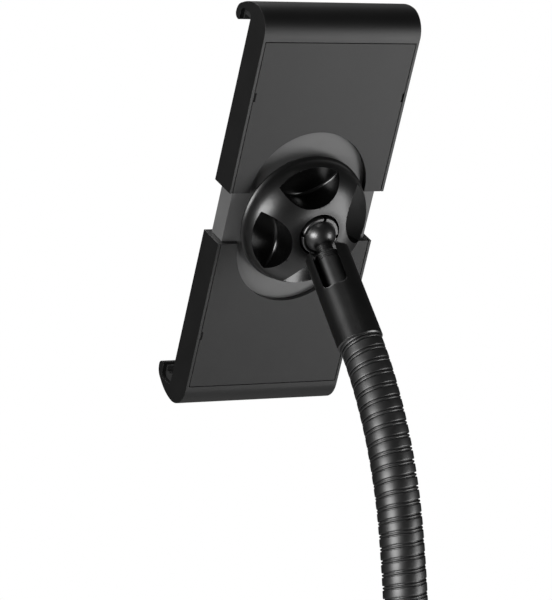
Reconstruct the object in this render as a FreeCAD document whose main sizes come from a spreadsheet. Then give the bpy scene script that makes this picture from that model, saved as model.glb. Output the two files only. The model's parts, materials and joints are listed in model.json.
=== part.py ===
import FreeCAD, Part

import math
import os
import re

import Sketcher
from FreeCAD import Placement, Rotation, Vector

# A floor stand that holds a flat screen by two of its edges.
# Millimetres and degrees. +Z is up, the origin is on the floor under the pole, and the user stands on the
# -Y side.

SIZES = {
    # Base
    "base_od": 300,
    "base_thick": 8,
    "base_round": 3,
    "mat_thick": 2,
    "mat_margin": 4,
    "flange_od": 76,
    "flange_thick": 6,
    "flange_neck_od": 36,
    "flange_height": 42,
    "flange_round": 5,
    "flange_screw_circle": 58,
    "flange_screw_od": 6,
    "flange_screw_head_od": 11,
    "flange_screw_head_thick": 3,
    "set_screw_od": 6,
    "set_screw_key": 3,
    # Pole
    "pole_od": 25,
    "pole_wall": 1.5,
    "pole_length": 490,
    "tube_od": 19,
    "tube_wall": 1.2,
    "tube_length": 470,
    "tube_reach": 155,
    "glide_length": 26,
    "spigot_length": 18,
    # Height lock, with levels counted from the top of the pole
    "lock_wall": 3,
    "lock_skirt": 38,
    "lock_thread_od": 27,
    "lock_thread_top": 17,
    "lock_cone_foot": 7,
    "lock_sleeve_od": 34.4,
    "lock_sleeve_top": 34,
    "lock_flute_od": 4,
    "lock_flute_count": 12,
    "collet_top": 25,
    "collet_slot": 1.6,
    # Fittings under the flexible neck
    "stud_od": 10,
    "stud_length": 24,
    "plug_depth": 20,
    "plug_rim": 3,
    "nut_od": 25,
    "nut_thick": 8,
    "nut_flute_od": 3,
    "nut_flute_count": 18,
    "ferrule_od": 22.6,
    "ferrule_foot": 30,
    "ferrule_grip": 12,
    # Flexible neck
    "neck_od": 19.6,
    "neck_bore": 13.2,
    "rib_pitch": 5.65,
    "ribs_per_section": 6,
    "rib_groove": 1.6,
    "rib_depth": 0.55,
    "link_ball_od": 18,
    "link_gap": 3.4,
    "neck_turn": 6,
    # Upper ferrule and ball
    "top_ferrule_od": 21,
    "top_ferrule_tip_od": 20.4,
    "top_ferrule_length": 49.5,
    "top_ferrule_chamfer": 2,
    "top_slot_width": 11.6,
    "top_slot_length": 21,
    "top_slot_corner": 2.5,
    "top_slot_turn": 43.5,
    "ball_reach": 58,
    "ball_od": 15,
    "ball_neck_od": 7.5,
    "stem_ridge_pitch": 0.9,
    "stem_ridge_depth": 0.25,
    "stem_ridge_count": 3,
    "stem_od": 11.5,
    "stem_top": 47.8,
    "stem_foot": 20,
    "stem_thread_od": 8,
    "stem_thread_foot": 12,
    # Ball clamp, with levels counted along the holder's normal from the grip plane
    "lean": 24.6,
    "ball_level": 34,
    "pad_wall": 0.7,
    "pad_reach": 5,
    "cup_od": 15.2,
    "cup_foot": 22,
    "cup_rim": 29.5,
    "clamp_flange_od": 41,
    "clamp_flange_thick": 2,
    "clamp_thread_od": 24,
    "clamp_thread_top": 27,
    "clamp_screw_circle": 32,
    "clamp_screw_od": 2.5,
    "clamp_screw_head_od": 4.6,
    "petal_tip_od": 17.9,
    "petal_tip_level": 35.6,
    "petal_slot": 1.6,
    "petal_slot_foot": 25,
    "petal_turn": -2,
    "petal_count": 4,
    # Clamp knob
    "knob_od": 62.4,
    "knob_rim_level": 17.2,
    "knob_rim_thick": 1.4,
    "knob_step": 0.9,
    "knob_top_od": 22,
    "knob_top_level": 34.2,
    "knob_hub_wall": 1.5,
    "knob_shoulder_radius": 10,
    "knob_shoulder_in": 1.9,
    "knob_shoulder_up": 5.9,
    "knob_dome_radius": 21.7,
    "knob_mouth_od": 20,
    "knob_skirt_od": 56.6,
    "knob_skirt_wall": 2.4,
    "knob_cavity_level": 18.6,
    "scoop_count": 4,
    "scoop_turn": 15.5,
    "scoop_wall_radius": 16,
    "scoop_wall_offset": 30.8,
    "scoop_wall_tilt": 5.7,
    "scoop_floor_radius": 40,
    "scoop_floor_offset": 12.5,
    "scoop_floor_level": 20.9,
    # Holder body
    "body_width": 74,
    "body_length": 116,
    "body_front": 4,
    "body_back": 14,
    "body_wall": 2,
    "body_chamfer": 0.6,
    "plate_thick": 1.6,
    "plate_inset": 0.1,
    "strip_width": 51,
    "strip_front": 2.2,
    "centre_pad_width": 46,
    "centre_pad_length": 100,
    "plate_screw_od": 3,
    "plate_screw_head": 1,
    "plate_screw_length": 6.5,
    "plate_screw_x": 29,
    "plate_screw_z": 50,
    "plate_post_od": 7,
    # Jaws
    "grip_opening": 178.5,
    "jaw_gap": 25,
    "jaw_width": 80,
    "jaw_front": 2,
    "jaw_back": 16.8,
    "slide_gap": 0.25,
    "pocket_end": 76,
    "cutout_radius": 29.7,
    "hook_reach": 9.2,
    "hook_depth": 11.3,
    "channel_depth": 7.3,
    "channel_end": 3.35,
    "cover_margin": 1.6,
    "cover_thick": 1.5,
    "cover_groove": 0.3,
    "cover_end": 3.8,
    "cover_notch_length": 4,
    "cover_notch_depth": 0.9,
    "back_pad_width": 60,
    "back_pad_length": 14,
    "hook_pad_width": 76,
    "pad_thick": 1.95,
    # Rack, pinion and springs
    "gear_pitch_radius": 8,
    "gear_teeth": 16,
    "gear_addendum": 0.8,
    "gear_dedendum": 1.0,
    "gear_backlash": 0.12,
    "gear_front": 6.2,
    "gear_thick": 4.6,
    "pinion_pin_od": 4,
    "rack_back": 12.5,
    "rack_free_end": 26,
    "rack_foot_width": 12,
    "rack_foot_length": 8,
    "rack_foot_front": 4.6,
    "rack_foot_back": 12,
    "rack_screw_od": 3,
    "rack_screw_head_od": 5.6,
    "spring_od": 5,
    "spring_wire": 0.8,
    # Clearances
    "fit": 0.05,
    "seat": 0.1,
}

# How far each stretch leans towards the user, from the foot of the neck up, and last the ball's stem.
SECTION_LEANS = [0, 0, 0, 0, 0, 0, 1, 2, 4, 8.5, 17, 27]
STEM_LEAN = 33.4

doc = FreeCAD.newDocument("floor_stand")
sheet = doc.addObject("Spreadsheet::Sheet", "Sizes")
for row, (alias, value) in enumerate(SIZES.items(), start=1):
    sheet.set(f"A{row}", alias)
    sheet.set(f"B{row}", str(value))
    sheet.setAlias(f"B{row}", alias)
doc.recompute()

parts = []


def tie(text):
    """The same expression with each size looked up in the sheet."""
    return re.sub(r"[a-z_]+", lambda word: "Sizes." + word[0] if word[0] in SIZES else word[0], str(text))


def size(text):
    """An expression's value."""
    return float(sheet.evalExpression(tie(text)))


def bind(thing, **values):
    """Binds properties to expressions; a double underscore stands for a dot."""
    for name, text in values.items():
        thing.setExpression(name.replace("__", "."), tie(text))
    return thing


def keep(thing, label, place=Placement()):
    """Makes an object a finished piece of the stand."""
    if thing.TypeId in ("Part::Box", "Part::Cylinder"):
        thing = group(label + "_piece", thing)
    thing.Label = label
    thing.Placement = place
    parts.append(thing)
    return thing


# Shapes bound to the sheet

UPRIGHT = Rotation(Vector(1, 0, 0), 90)
SIDEWAYS = Rotation(Vector(1, 1, 1), 120)
ALONG = {"z": Rotation(), "y": Rotation(Vector(1, 0, 0), -90), "x": Rotation(Vector(0, 1, 0), 90)}


def sketch(name, turn, corners):
    """A closed outline. A corner is (x, y), or (x, y, radius, side) where an arc runs to the next corner
    with its centre on the left (side 1) or right (side -1)."""
    outline = doc.addObject("Sketcher::SketchObject", name)
    outline.Placement = Placement(Vector(), turn)
    points = [Vector(size(c[0]), size(c[1]), 0) for c in corners]
    starts = []
    for i, corner in enumerate(corners):
        a, b = points[i], points[(i + 1) % len(points)]
        if len(corner) == 2:
            outline.addGeometry(Part.LineSegment(a, b), False)
            starts.append(1)
            continue
        radius, side = size(corner[2]), corner[3]
        middle = (a + b) / 2
        half = (b - a).Length / 2
        left = Vector(a.y - b.y, b.x - a.x, 0).normalize()
        centre = middle + left * side * math.sqrt(radius * radius - half * half)
        through = centre - left * side * radius
        # Arcs are drawn counter-clockwise, so one with its centre on the right ends where this side starts.
        ends = (a, through, b) if side == 1 else (b, through, a)
        outline.addGeometry(Part.Arc(*ends), False)
        starts.append(1 if side == 1 else 2)
        outline.addConstraint(Sketcher.Constraint("Radius", i, radius))
        outline.renameConstraint(outline.ConstraintCount - 1, f"radius_{i}")
        outline.setExpression(f"Constraints.radius_{i}", tie(corner[2]))
    for i, corner in enumerate(corners):
        before = (i - 1) % len(corners)
        outline.addConstraint(Sketcher.Constraint("Coincident", before, 3 - starts[before], i, starts[i]))
        for kind, axis, value, text in (
            ("DistanceX", -2, points[i].x, corner[0]),
            ("DistanceY", -1, points[i].y, corner[1]),
        ):
            if abs(value) < 1e-9:
                outline.addConstraint(Sketcher.Constraint("PointOnObject", i, starts[i], axis))
                continue
            outline.addConstraint(Sketcher.Constraint(kind, -1, 1, i, starts[i], value))
            outline.renameConstraint(outline.ConstraintCount - 1, f"{kind}_{i}")
            outline.setExpression(f"Constraints.{kind}_{i}", tie(text))
    return outline


def turned(name, corners):
    """A solid of revolution about Z from corners (radius, level)."""
    solid = doc.addObject("Part::Revolution", name)
    solid.Source = sketch(name + "_profile", UPRIGHT, corners)
    solid.Axis = Vector(0, 0, 1)
    solid.Angle = 360
    solid.Solid = True
    return solid


def drawn_across(name, corners, width):
    """A profile of corners (y, z), as wide as said and centred on x = 0."""
    solid = doc.addObject("Part::Extrusion", name)
    solid.Base = sketch(name + "_profile", SIDEWAYS, corners)
    solid.DirMode = "Normal"
    solid.Symmetric = True
    solid.Solid = True
    return bind(solid, LengthFwd=width)


def box(name, x, y, z):
    """A block between the two values of each pair."""
    block = doc.addObject("Part::Box", name)
    bind(block, Length=f"({x[1]}) - ({x[0]})", Width=f"({y[1]}) - ({y[0]})", Height=f"({z[1]}) - ({z[0]})")
    return bind(block, Placement__Base__x=x[0], Placement__Base__y=y[0], Placement__Base__z=z[0])


def rod(name, radius, start, length, axis="z"):
    """A round bar from a point along an axis."""
    bar = doc.addObject("Part::Cylinder", name)
    bar.Placement = Placement(Vector(), ALONG[axis])
    bind(bar, Radius=radius, Height=length)
    return bind(bar, Placement__Base__x=start[0], Placement__Base__y=start[1], Placement__Base__z=start[2])


def cone(name, radius_a, radius_b, start, length, axis="z"):
    """A tapered bar from a point along an axis."""
    bar = doc.addObject("Part::Cone", name)
    bar.Placement = Placement(Vector(), ALONG[axis])
    bind(bar, Radius1=radius_a, Radius2=radius_b, Height=length)
    return bind(bar, Placement__Base__x=start[0], Placement__Base__y=start[1], Placement__Base__z=start[2])


def joined(name, *things):
    """One solid from several that touch or overlap."""
    whole = doc.addObject("Part::MultiFuse", name)
    whole.Shapes = list(things)
    whole.Refine = True
    return whole


def cut(name, base, *tools):
    """The base with the tools taken out of it."""
    result = doc.addObject("Part::Cut", name)
    result.Base = base
    result.Tool = tools[0] if len(tools) == 1 else group(name + "_tools", *tools)
    return result


def group(name, *things):
    """Separate solids kept as one object."""
    bundle = doc.addObject("Part::Compound", name)
    bundle.Links = list(things)
    return bundle


def ring_places(count, start=0):
    """Turns about Z, evenly spaced."""
    return [Placement(Vector(), Rotation(Vector(0, 0, 1), start + 360 * i / count)) for i in range(count)]


def put(thing, place):
    """The same shape in another place, with its own sizes and place still bound."""
    moved = group(thing.Name + "_moved", thing)
    moved.Placement = place
    return moved


# Levels and frames worked out from the sizes

PLATE_TOP = size("mat_thick + base_thick")
POLE_TOP = PLATE_TOP + size("pole_length")
TUBE_TOP = POLE_TOP + size("tube_reach")
TUBE_FOOT = TUBE_TOP - size("tube_length")
NUT_FOOT = TUBE_TOP + size("plug_rim")
FERRULE_FOOT = NUT_FOOT + size("nut_thick")
NECK_FOOT = FERRULE_FOOT + size("ferrule_foot")
SECTION_LENGTH = size("rib_pitch * ribs_per_section")

NECK_TURN = Placement(Vector(), Rotation(Vector(0, 0, 1), size("neck_turn")))


def leaning(point, lean):
    """A frame on the neck whose Z follows it."""
    return NECK_TURN * Placement(point, Rotation(Vector(1, 0, 0), lean))


def neck_frames():
    """The frame at the foot of each section, and last that of the upper ferrule."""
    point = Vector(0, 0, NECK_FOOT)
    frames = []
    for lean in SECTION_LEANS:
        frames.append(leaning(point, lean))
        step = Rotation(Vector(1, 0, 0), lean).multVec(Vector(0, 0, SECTION_LENGTH))
        point = point + step
    frames.append(leaning(point, STEM_LEAN))
    return frames


NECK = neck_frames()
TOP = NECK[-1]
BALL_CENTRE = TOP.multVec(Vector(0, 0, size("ball_reach")))
HOLDER_TURN = Rotation(Vector(1, 0, 0), -size("lean"))
NORMAL = HOLDER_TURN.multVec(Vector(0, 1, 0))
GRIP_CENTRE = BALL_CENTRE - NORMAL * size("ball_level")
# In the holder's frame x runs across, y along the normal away from the user and z up the holder.
HOLDER = Placement(GRIP_CENTRE, HOLDER_TURN)
# In the clamp's frame z is the normal.
CLAMP = HOLDER * Placement(Vector(), Rotation(Vector(1, 0, 0), -90))
# The lower jaw is the upper one turned half round the normal.
JAWS = {"upper": HOLDER, "lower": HOLDER * Placement(Vector(), Rotation(Vector(0, 1, 0), 180))}


def at(level):
    return Placement(Vector(0, 0, level), Rotation())


# Base

def base_mat():
    keep(rod("mat", "base_od / 2 - mat_margin", ("0", "0", "0"), "mat_thick"), "base_mat")


def base_plate():
    plate = turned("plate", [
        ("0", "mat_thick"),
        ("base_od / 2 - 1", "mat_thick"),
        ("base_od / 2", "mat_thick + 1"),
        ("base_od / 2", "mat_thick + base_thick - base_round"),
        ("base_od / 2 - base_round", "mat_thick + base_thick"),
        ("0", "mat_thick + base_thick"),
    ])
    holes = []
    for i, turn in enumerate(ring_places(3, 90)):
        foot = ("flange_screw_circle / 2", "0", "mat_thick")
        shank = rod(f"plate_hole_{i}", "flange_screw_od / 2 + seat", foot, "base_thick")
        head = rod(f"plate_sink_{i}", "flange_screw_head_od / 2 + seat", foot,
                   "flange_screw_head_thick + seat")
        holes += [put(shank, turn), put(head, turn)]
    keep(cut("base", plate, *holes), "base_plate")


def pole_flange():
    """The socket that the pole stands in, with three tapped holes from below and a set screw in its neck."""
    socket = turned("socket", [
        ("pole_od / 2 + fit", "0"),
        ("flange_od / 2", "0"),
        ("flange_od / 2", "flange_thick - 1.5"),
        ("flange_od / 2 - 1.5", "flange_thick"),
        ("flange_neck_od / 2 + flange_round", "flange_thick", "flange_round", -1),
        ("flange_neck_od / 2", "flange_thick + flange_round"),
        ("flange_neck_od / 2", "flange_height - 1"),
        ("flange_neck_od / 2 - 1", "flange_height"),
        ("pole_od / 2 + fit", "flange_height"),
    ])
    holes = [put(rod(f"socket_hole_{i}", "flange_screw_od / 2", ("flange_screw_circle / 2", "0", "0"),
                     "flange_thick - 1"), turn) for i, turn in enumerate(ring_places(3, 90))]
    side = rod("set_screw_hole", "set_screw_od / 2", ("0", "pole_od / 2 - 1", "flange_height - 10"),
               "flange_neck_od / 2", "y")
    keep(cut("pole_socket", socket, *holes, side), "pole_socket", at(PLATE_TOP))


def base_screws():
    screws = []
    for i, turn in enumerate(ring_places(3, 90)):
        foot = ("flange_screw_circle / 2", "0", "mat_thick + seat")
        head = rod(f"base_screw_head_{i}", "flange_screw_head_od / 2", foot, "flange_screw_head_thick")
        shank = rod(f"base_screw_shank_{i}", "flange_screw_od / 2 - fit", foot,
                    "base_thick + flange_thick - 2 - seat")
        key = rod(f"base_screw_key_{i}", "flange_screw_od / 4", ("flange_screw_circle / 2", "0", "mat_thick"),
                  "flange_screw_head_thick - 0.8")
        screws.append(put(cut(f"base_screw_{i}", joined(f"base_screw_blank_{i}", head, shank), key), turn))
    keep(group("base_screw_set", *screws), "base_screws")


def set_screw():
    blank = rod("set_screw_blank", "set_screw_od / 2 - fit", ("0", "pole_od / 2 + fit", "flange_height - 10"),
                "flange_neck_od / 2 - pole_od / 2 - 0.6", "y")
    key = rod("set_screw_socket", "set_screw_key / 2",
              ("0", "flange_neck_od / 2 - 3", "flange_height - 10"), "5", "y")
    keep(cut("set_screw", blank, key), "pole_set_screw", at(PLATE_TOP))


# Pole and height lock

def tube(name, outer, wall, length, label, level):
    outside = rod(name + "_outside", f"{outer} / 2", ("0", "0", "0"), length)
    inside = rod(name + "_inside", f"{outer} / 2 - {wall}", ("0", "0", "-1"), f"{length} + 2")
    keep(cut(name, outside, inside), label, at(level))


def glide_plug():
    plug = turned("glide", [
        ("0", "-glide_length"),
        ("pole_od / 2 - pole_wall - 1.5", "-glide_length"),
        ("pole_od / 2 - pole_wall - fit", "1.5 - glide_length"),
        ("pole_od / 2 - pole_wall - fit", "0"),
        ("tube_od / 2 - tube_wall - fit", "0"),
        ("tube_od / 2 - tube_wall - fit", "spigot_length - 1"),
        ("tube_od / 2 - tube_wall - 1", "spigot_length"),
        ("0", "spigot_length"),
    ])
    keep(plug, "glide_plug", at(TUBE_FOOT))


def height_lock_body():
    body = turned("lock_body", [
        ("pole_od / 2 + fit", "-lock_skirt"),
        ("pole_od / 2 + lock_wall - 1", "-lock_skirt"),
        ("pole_od / 2 + lock_wall", "1 - lock_skirt"),
        ("pole_od / 2 + lock_wall", "3"),
        ("lock_thread_od / 2 - seat", "3"),
        ("lock_thread_od / 2 - seat", "lock_thread_top"),
        ("lock_thread_od / 2 - 1.3", "lock_thread_top"),
        ("tube_od / 2 + 1.1", "lock_cone_foot"),
        ("tube_od / 2 + 0.6", "lock_cone_foot"),
        ("tube_od / 2 + 0.6", "seat"),
        ("pole_od / 2 + fit", "seat"),
    ])
    keep(body, "height_lock_body", at(POLE_TOP))


def height_lock_collet():
    """A split cone that the sleeve squeezes onto the tube."""
    ring = turned("collet", [
        ("tube_od / 2 + fit", "lock_cone_foot + 0.3"),
        ("tube_od / 2 + 0.9", "lock_cone_foot + 0.3"),
        ("lock_thread_od / 2 - 1.5", "lock_thread_top + 0.5"),
        ("lock_thread_od / 2 - 1.5", "collet_top - 5"),
        ("tube_od / 2 + 1.1", "collet_top"),
        ("tube_od / 2 + fit", "collet_top"),
    ])
    slots = [put(box(f"collet_slot_{i}", ("0", "lock_thread_od"), ("-collet_slot / 2", "collet_slot / 2"),
                     ("lock_cone_foot + 4", "collet_top + 1")), turn)
             for i, turn in enumerate(ring_places(4, 45))]
    keep(cut("lock_collet", ring, *slots), "height_lock_collet", at(POLE_TOP))


def height_lock_sleeve():
    """The fluted sleeve that is turned by hand."""
    sleeve = turned("sleeve", [
        ("lock_thread_od / 2", "3.2"),
        ("lock_sleeve_od / 2 - 1", "3.2"),
        ("lock_sleeve_od / 2", "4.2"),
        ("lock_sleeve_od / 2", "lock_sleeve_top - 9"),
        ("lock_sleeve_od / 2 - 3", "lock_sleeve_top"),
        ("tube_od / 2 + 0.4", "lock_sleeve_top"),
        ("tube_od / 2 + 0.4", "collet_top + 2.5"),
        ("lock_thread_od / 2 - 1.2", "collet_top - 4.7"),
        ("lock_thread_od / 2 - 1.2", "lock_thread_top + 0.7"),
        ("lock_thread_od / 2", "lock_thread_top + 0.7"),
    ])
    flutes = [put(rod(f"sleeve_flute_{i}", "lock_flute_od / 2", ("lock_sleeve_od / 2 + 1", "0", "6.5"),
                      "lock_sleeve_top"), turn)
              for i, turn in enumerate(ring_places(int(size("lock_flute_count"))))]
    keep(cut("lock_sleeve", sleeve, *flutes), "height_lock_sleeve", at(POLE_TOP))


# Fittings under the neck

def tube_top_plug():
    plug = turned("stud_plug", [
        ("0", "-plug_depth"),
        ("tube_od / 2 - tube_wall - 1", "-plug_depth"),
        ("tube_od / 2 - tube_wall - fit", "1 - plug_depth"),
        ("tube_od / 2 - tube_wall - fit", "0"),
        ("tube_od / 2", "0"),
        ("tube_od / 2", "plug_rim"),
        ("stud_od / 2", "plug_rim"),
        ("stud_od / 2", "plug_rim + stud_length - 1"),
        ("stud_od / 2 - 1", "plug_rim + stud_length"),
        ("0", "plug_rim + stud_length"),
    ])
    keep(plug, "tube_top_plug", at(TUBE_TOP))


def neck_lock_nut():
    nut = turned("nut", [
        ("stud_od / 2 + fit", "0"),
        ("nut_od / 2 - 1", "0"),
        ("nut_od / 2", "1"),
        ("nut_od / 2", "nut_thick - 1"),
        ("nut_od / 2 - 1", "nut_thick"),
        ("stud_od / 2 + fit", "nut_thick"),
    ])
    flutes = [put(rod(f"nut_flute_{i}", "nut_flute_od / 2", ("nut_od / 2 + 0.8", "0", "-1"), "nut_thick + 2"),
                  turn)
              for i, turn in enumerate(ring_places(int(size("nut_flute_count"))))]
    keep(cut("lock_nut", nut, *flutes), "neck_lock_nut", at(NUT_FOOT))


def lower_ferrule():
    ferrule = turned("neck_foot", [
        ("stud_od / 2 + fit", "0"),
        ("ferrule_od / 2 - 0.8", "0"),
        ("ferrule_od / 2", "0.8"),
        ("ferrule_od / 2", "ferrule_foot + ferrule_grip - 1.5"),
        ("ferrule_od / 2 - 0.8", "ferrule_foot + ferrule_grip"),
        ("neck_od / 2 + fit", "ferrule_foot + ferrule_grip"),
        ("neck_od / 2 + fit", "ferrule_foot"),
        ("stud_od / 2 + 1", "ferrule_foot"),
        ("stud_od / 2 + 1", "stud_length - nut_thick + 2"),
        ("stud_od / 2 + fit", "stud_length - nut_thick + 2"),
    ])
    keep(ferrule, "neck_lower_ferrule", at(FERRULE_FOOT))


# Flexible neck

def rib_steps():
    """The grooves between the ribs, from the foot of a section to its top."""
    steps = []
    for i in range(1, int(size("ribs_per_section"))):
        middle = f"rib_pitch * {i}"
        steps += [
            ("neck_od / 2", f"{middle} - rib_groove / 2"),
            ("neck_od / 2 - rib_depth", middle),
            ("neck_od / 2", f"{middle} + rib_groove / 2"),
        ]
    return steps


def neck_section(number):
    """A ribbed length of neck: a hollow ball on its top seats in the next section's round socket."""
    length = "rib_pitch * ribs_per_section"
    gap = "link_gap / 2"
    ball_radius = "link_ball_od / 2"
    socket_radius = "(link_ball_od / 2 + seat)"
    bore = "neck_bore / 2"
    if number == 1:
        foot = [(bore, "0"), ("neck_od / 2", "0")]
    else:
        foot = [
            (bore, f"sqrt({socket_radius}^2 - ({bore})^2)", socket_radius, -1),
            (f"sqrt({socket_radius}^2 - ({gap})^2)", gap),
            ("neck_od / 2", gap),
        ]
    top = [
        ("neck_od / 2", f"{length} - {gap}"),
        (f"sqrt(({ball_radius})^2 - ({gap})^2)", f"{length} - {gap}", ball_radius, 1),
        (bore, f"{length} + sqrt(({ball_radius})^2 - ({bore})^2)"),
    ]
    name = f"neck_section_{number:02d}"
    keep(turned(name + "_body", foot + rib_steps() + top), name, NECK[number - 1])


# Upper ferrule and ball stem

def upper_ferrule():
    """The neck's top fitting, slotted on one side where the ball's stem shows."""
    gap = "link_gap / 2"
    socket_radius = "(link_ball_od / 2 + seat)"
    thread = "(stem_thread_od / 2 + fit)"
    ferrule = turned("neck_top", [
        (thread, f"sqrt({socket_radius}^2 - {thread}^2)", socket_radius, -1),
        (f"sqrt({socket_radius}^2 - ({gap})^2)", gap),
        ("top_ferrule_od / 2 - 0.6", gap),
        ("top_ferrule_od / 2", f"{gap} + 0.6"),
        ("top_ferrule_tip_od / 2", "top_ferrule_length - top_ferrule_chamfer"),
        ("top_ferrule_tip_od / 2 - top_ferrule_chamfer", "top_ferrule_length"),
        ("stem_od / 2 + fit", "top_ferrule_length"),
        ("stem_od / 2 + fit", "stem_foot - seat"),
        (thread, "stem_foot - seat"),
    ])
    slot_foot = "top_ferrule_length - top_slot_length"
    half = "top_slot_width / 2"
    corner = "(top_slot_width / 2 - top_slot_corner)"
    slot = joined(
        "slot_shape",
        rod("slot_corner_a", "top_slot_corner", ("0", corner, f"{slot_foot} + top_slot_corner"),
            "top_ferrule_od", "x"),
        rod("slot_corner_b", "top_slot_corner", ("0", f"-{corner}", f"{slot_foot} + top_slot_corner"),
            "top_ferrule_od", "x"),
        box("slot_bottom", ("0", "top_ferrule_od"), (f"-{corner}", corner),
            (slot_foot, "top_ferrule_length")),
        box("slot_run", ("0", "top_ferrule_od"), (f"-{half}", half),
            (f"{slot_foot} + top_slot_corner", "top_ferrule_length + 1")),
    )
    turn = Placement(Vector(), Rotation(Vector(0, 0, 1), size("top_slot_turn")))
    slot.Placement = turn
    keep(cut("top_ferrule", ferrule, slot), "neck_upper_ferrule", TOP)


def ridge_steps(radius, level):
    """Fine turned grooves in a round part, the topmost at a level, as corners from the lowest up."""
    steps = []
    for i in reversed(range(int(size("stem_ridge_count")))):
        middle = f"{level} - stem_ridge_pitch * {i}"
        steps += [
            (radius, f"{middle} - stem_ridge_depth"),
            (f"{radius} - stem_ridge_depth", middle),
            (radius, f"{middle} + stem_ridge_depth"),
        ]
    return steps


def ball_stem():
    """The ball on its stem, with fine ridges under the ball and round the stem's shoulder."""
    ball_radius = "ball_od / 2"
    neck = "ball_neck_od / 2"
    neck_top = f"ball_reach - sqrt(({ball_radius})^2 - ({neck})^2)"
    stem = turned("stem", [
        ("0", "stem_thread_foot"),
        ("stem_thread_od / 2 - 0.8", "stem_thread_foot"),
        ("stem_thread_od / 2", "stem_thread_foot + 0.8"),
        ("stem_thread_od / 2", "stem_foot"),
        ("stem_od / 2", "stem_foot"),
        *ridge_steps("stem_od / 2", "stem_top - 1.6"),
        ("stem_od / 2", "stem_top - 0.8"),
        ("stem_od / 2 - 0.8", "stem_top"),
        (neck, "stem_top"),
        *ridge_steps(neck, f"{neck_top} - 0.6"),
        (neck, neck_top, ball_radius, 1),
        (ball_radius, "ball_reach", ball_radius, 1),
        ("0", f"ball_reach + {ball_radius}"),
    ])
    keep(stem, "ball_stem", TOP)


# Ball clamp

def friction_pad():
    """A thin dished liner under the ball."""
    inside = "(ball_od / 2 + fit)"
    outside = "(ball_od / 2 + fit + pad_wall)"
    lip = "(pad_reach - pad_wall / 2)"
    pad = turned("pad", [
        ("0", f"ball_level - {outside}", outside, 1),
        ("pad_reach", f"ball_level - sqrt({outside}^2 - pad_reach^2)"),
        (lip, f"ball_level - sqrt({inside}^2 - {lip}^2)", inside, -1),
        ("0", f"ball_level - {inside}"),
    ])
    keep(pad, "friction_pad", CLAMP)


def thrust_cup():
    """The seat that carries the liner and turns in the clamp's bore."""
    seat_radius = "(ball_od / 2 + pad_wall + 2 * fit)"
    cup = turned("cup", [
        ("0", "cup_foot"),
        ("cup_od / 2 - 0.5", "cup_foot"),
        ("cup_od / 2", "cup_foot + 0.5"),
        ("cup_od / 2", "cup_rim"),
        (f"sqrt({seat_radius}^2 - (ball_level - cup_rim)^2)", "cup_rim", seat_radius, -1),
        ("0", f"ball_level - {seat_radius}"),
    ])
    keep(cup, "thrust_cup", CLAMP)


def ball_socket():
    """A threaded post with split petals that close over the ball."""
    grip = "(ball_od / 2 + fit)"
    bore = "cup_od / 2 + fit"
    foot = "body_back"
    waist = "cup_rim + 1"
    post = turned("post", [
        ("0", foot),
        ("clamp_flange_od / 2", foot),
        ("clamp_flange_od / 2", f"{foot} + clamp_flange_thick"),
        ("clamp_thread_od / 2", f"{foot} + clamp_flange_thick"),
        ("clamp_thread_od / 2", "clamp_thread_top - 0.5"),
        ("clamp_thread_od / 2 - 0.5", "clamp_thread_top"),
        ("petal_tip_od / 2 + 0.3", "clamp_thread_top + 4"),
        ("petal_tip_od / 2", "petal_tip_level - 0.4"),
        ("petal_tip_od / 2 - 0.4", "petal_tip_level"),
        (f"sqrt({grip}^2 - (petal_tip_level - ball_level)^2)", "petal_tip_level", grip, -1),
        (f"sqrt({grip}^2 - (ball_level - ({waist}))^2)", waist),
        (bore, waist),
        (bore, "cup_foot - fit"),
        ("0", "cup_foot - fit"),
    ])
    slots = [put(box(f"petal_slot_{i}", ("0", "clamp_flange_od"), ("-petal_slot / 2", "petal_slot / 2"),
                     ("petal_slot_foot", "petal_tip_level + 1")), turn)
             for i, turn in enumerate(ring_places(int(size("petal_count")), size("petal_turn")))]
    holes = [put(rod(f"clamp_hole_{i}", "clamp_screw_od / 2 + seat", ("clamp_screw_circle / 2", "0", foot),
                     "clamp_flange_thick"), turn) for i, turn in enumerate(ring_places(4))]
    keep(cut("socket_post", post, *slots, *holes), "ball_socket", CLAMP)


def socket_screws():
    screws = []
    for i, turn in enumerate(ring_places(4)):
        x = "clamp_screw_circle / 2"
        head_foot = "body_back + clamp_flange_thick"
        head = rod(f"clamp_screw_head_{i}", "clamp_screw_head_od / 2", (x, "0", head_foot), "1.6")
        shank = rod(f"clamp_screw_shank_{i}", "clamp_screw_od / 2 - fit",
                    (x, "0", "body_back - body_wall - 1.5"), "clamp_flange_thick + 4.5")
        slot = box(f"clamp_screw_slot_{i}", (f"{x} - 3", f"{x} + 3"), ("-0.3", "0.3"),
                   (f"{head_foot} + 1", f"{head_foot} + 2"))
        screws.append(put(cut(f"clamp_screw_{i}", joined(f"clamp_screw_blank_{i}", head, shank), slot), turn))
    keep(group("clamp_screw_set", *screws), "socket_screws", CLAMP)


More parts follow.
